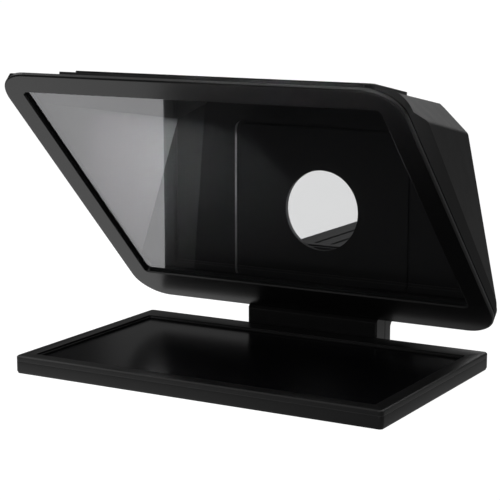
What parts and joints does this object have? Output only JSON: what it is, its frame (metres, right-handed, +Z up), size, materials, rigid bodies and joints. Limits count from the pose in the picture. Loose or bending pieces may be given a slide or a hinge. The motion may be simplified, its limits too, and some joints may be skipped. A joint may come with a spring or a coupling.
{
  "type": "teleprompter",
  "caption": "Desk teleprompter: flat display under a slanting beam-splitter glass, faceted hood with a lens port and hatch, and a sliding slotted camera platform.",
  "frame": {"origin": "mouth of the tripod thread in the underside of the neck", "axes": "+Z up, +Y away from the reader towards the camera, +X to the reader's right"},
  "size_m": [0.238, 0.3037, 0.1672],
  "materials": {
    "case": "fine satin moulded texture, near black",
    "frame": "satin, slightly polished on its chamfers",
    "hood": "fine matte moulded texture, near black",
    "screen": "gloss, anti-reflective dark",
    "panel": "dark display cell",
    "light": "white light guide",
    "board": "solder mask",
    "steel": "bare steel",
    "black_steel": "black oxide",
    "brass": "machined",
    "mirror_glass": "beam-splitter coating on its front face",
    "rubber": "soft matte",
    "rail": "black anodised",
    "platform": "black anodised, bead blasted",
    "knob": "moulded, textured",
    "magnet": "nickel plated"
  },
  "bodies": {
    "housing": {"display_bezel": "case", "display_bottom_cover": "case", "screen_glass": "screen", "lcd_panel": "panel", "backlight": "light", "display_board": "board", "usb_port": "steel", "display_screws": "black_steel", "neck": "case", "neck_screws": "black_steel", "tripod_insert": "brass", "mirror_frame": "frame", "beam_splitter_glass": "mirror_glass", "frame_gasket": "rubber", "glass_cushion": "rubber", "glass_retainer": "hood", "retainer_screws": "black_steel", "hood": "hood", "hood_screws": "black_steel", "hatch_pin": "steel", "backplate": "hood", "backplate_discs": "steel", "hood_magnets": "magnet", "lens_seal": "rubber", "camera_rail": "rail", "rail_screws": "black_steel", "rail_end_cap": "knob"},
    "hatch": {"hatch": "hood"},
    "platform": {"camera_platform": "platform", "platform_pad": "rubber", "lock_bolt": "steel"},
    "lock_knob": {"lock_knob": "knob"},
    "screw_carrier": {"screw_washer": "steel"},
    "camera_screw": {"camera_screw": "steel", "camera_screw_knob": "knob"}
  },
  "joints": [
    {"name": "hatch_hinge", "type": "hinge", "parent": "housing", "child": "hatch", "pos_m": [0, -0.12238, 0.16411], "axis": [1, 0, 0], "range_deg": [0, 100]},
    {"name": "platform_slide", "type": "slide", "parent": "housing", "child": "platform", "axis": [0, 1, 0], "range_m": [-0.024, 0.05]},
    {"name": "lock_knob_turn", "type": "hinge", "parent": "platform", "child": "lock_knob", "pos_m": [0, 0.074, 0.01], "axis": [0, 0, 1], "continuous": true},
    {"name": "camera_screw_slide", "type": "slide", "parent": "platform", "child": "screw_carrier", "axis": [0, 1, 0], "range_m": [-0.04, 0.036]},
    {"name": "camera_screw_turn", "type": "hinge", "parent": "screw_carrier", "child": "camera_screw", "pos_m": [0, 0.1, 0.041], "axis": [0, 0, 1], "continuous": true}
  ]
}
